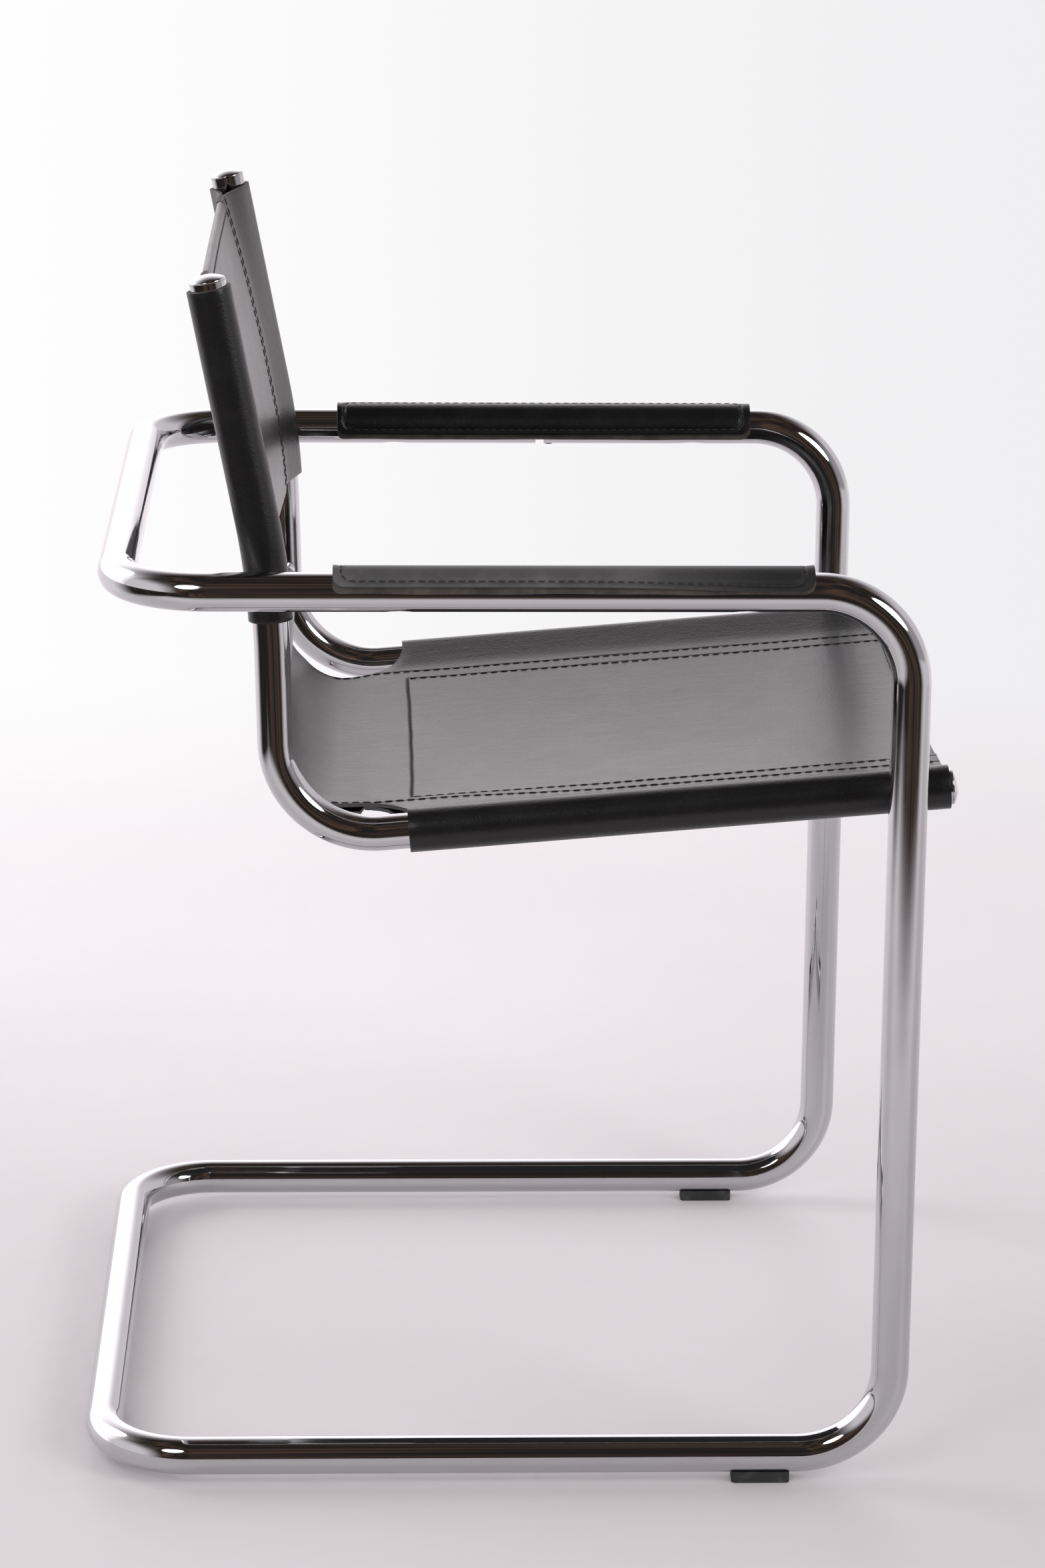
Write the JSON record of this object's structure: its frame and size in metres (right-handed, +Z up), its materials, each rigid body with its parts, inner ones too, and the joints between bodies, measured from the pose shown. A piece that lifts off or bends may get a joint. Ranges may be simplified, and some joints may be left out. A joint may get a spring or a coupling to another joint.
{
  "type": "cantilever lounge chair",
  "caption": "Cantilever armchair of bent chromed tube with black leather slings for seat and back and leather wrapped round both arm tubes.",
  "frame": {"origin": "middle of the bounding box on the floor, under the chair, on the glides' undersides", "axes": "+Z up; the open front of the chair faces -Y and the back leans towards +Y; the two sides are mirrored in X, and left is the -X side as seen from the front"},
  "size_m": [0.5583, 0.5788, 0.8101],
  "materials": {
    "chrome_tube": "polished",
    "plain_steel": "zinc plated",
    "black_leather": "satin, fine grain",
    "lining_leather": "rough underside",
    "chrome_cap": "polished",
    "glide_rubber": "matt"
  },
  "bodies": {
    "root": {"outer_frame": "chrome_tube", "side_frame_left": "chrome_tube", "side_frame_right": "chrome_tube", "rear_cross_bar": "chrome_tube", "frame_joint_sleeve": "plain_steel", "frame_joint_screw": "plain_steel", "seat_leather": "black_leather", "back_leather": "black_leather", "armrest_leather_left": "black_leather", "armrest_leather_right": "black_leather", "armrest_lining_left": "lining_leather", "armrest_lining_right": "lining_leather", "armrest_studs": "plain_steel", "armrest_screws": "plain_steel", "top_cap_left": "chrome_cap", "top_cap_right": "chrome_cap", "seat_cap_left": "chrome_cap", "seat_cap_right": "chrome_cap", "front_glide_left": "glide_rubber", "front_glide_right": "glide_rubber", "rear_glide_left": "glide_rubber", "rear_glide_right": "glide_rubber", "glide_screws": "plain_steel", "arm_bolts": "plain_steel", "arm_spacers": "chrome_tube", "arm_inserts": "plain_steel", "arm_washers": "plain_steel", "upright_bolts": "plain_steel", "upright_spacers": "chrome_tube", "upright_inserts": "plain_steel", "upright_washers": "plain_steel"}
  },
  "joints": []
}
